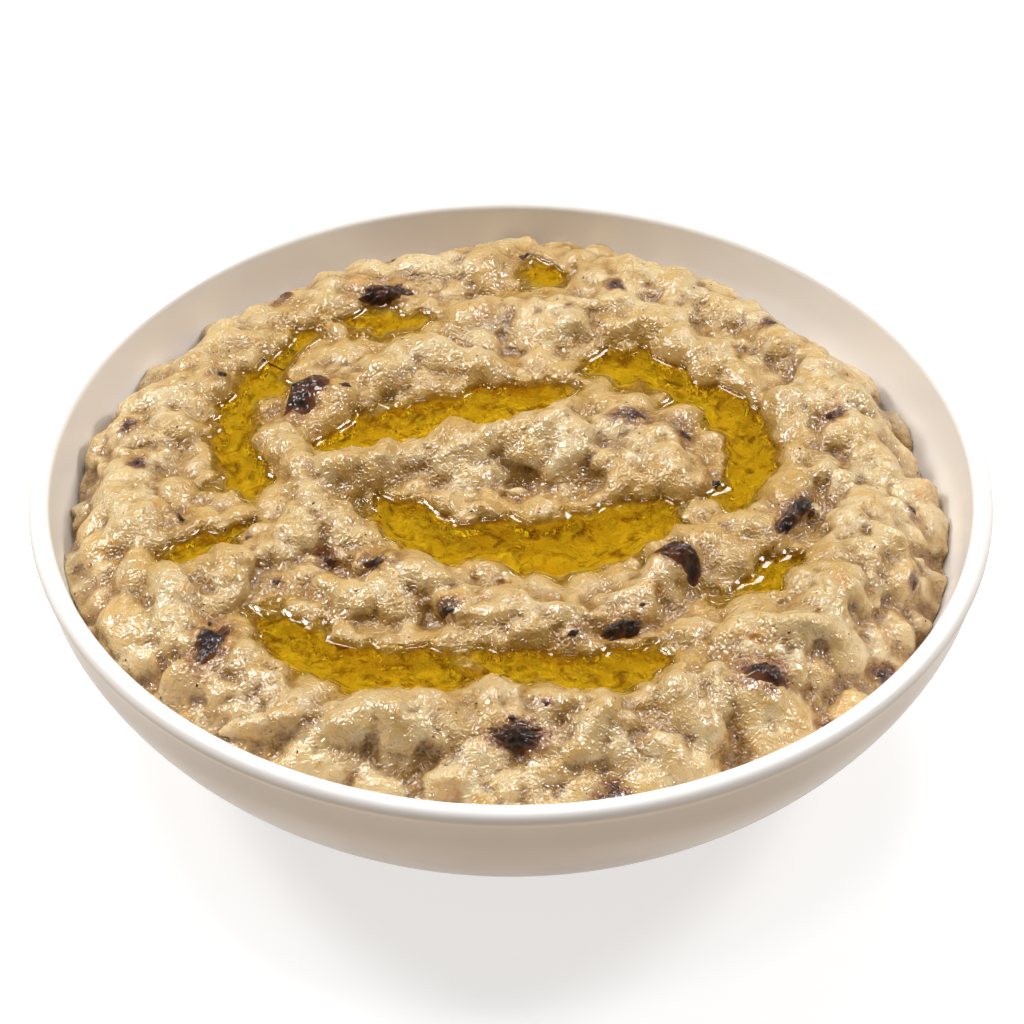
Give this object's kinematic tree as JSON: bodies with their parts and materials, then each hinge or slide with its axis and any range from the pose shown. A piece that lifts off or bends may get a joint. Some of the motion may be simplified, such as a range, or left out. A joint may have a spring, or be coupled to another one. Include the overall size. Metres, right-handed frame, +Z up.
{
  "type": "bowl of baba ganoush",
  "caption": "Round glazed bowl filled with lumpy baba ganoush folded into curved ridges, with olive oil in the grooves and scraps of charred aubergine skin.",
  "frame": {"origin": "middle of the foot ring's underside", "axes": "+Z up along the bowl's axis, -Y towards the front of the dip's pattern"},
  "size_m": [0.1702, 0.1702, 0.0499],
  "materials": {
    "glaze": "smooth cream glaze on stoneware, softly glossy",
    "dip": "moist, lumpy mashed aubergine, pale yellow-brown with grey-brown hollows",
    "oil": "clear golden olive oil",
    "charred_skin": "black-brown charred aubergine skin, slightly oily"
  },
  "bodies": {
    "root": {"bowl": "glaze", "dip": "dip", "oil_centre": "oil", "oil_upper": "oil", "oil_right": "oil", "oil_left": "oil", "oil_front": "oil", "oil_back": "oil", "oil_back_left": "oil", "oil_west": "oil", "oil_east": "oil", "char_finger": "charred_skin", "char_back": "charred_skin", "char_left": "charred_skin", "char_front": "charred_skin", "char_front_right": "charred_skin", "char_right": "charred_skin", "char_groove": "charred_skin", "char_inner": "charred_skin"}
  },
  "joints": []
}
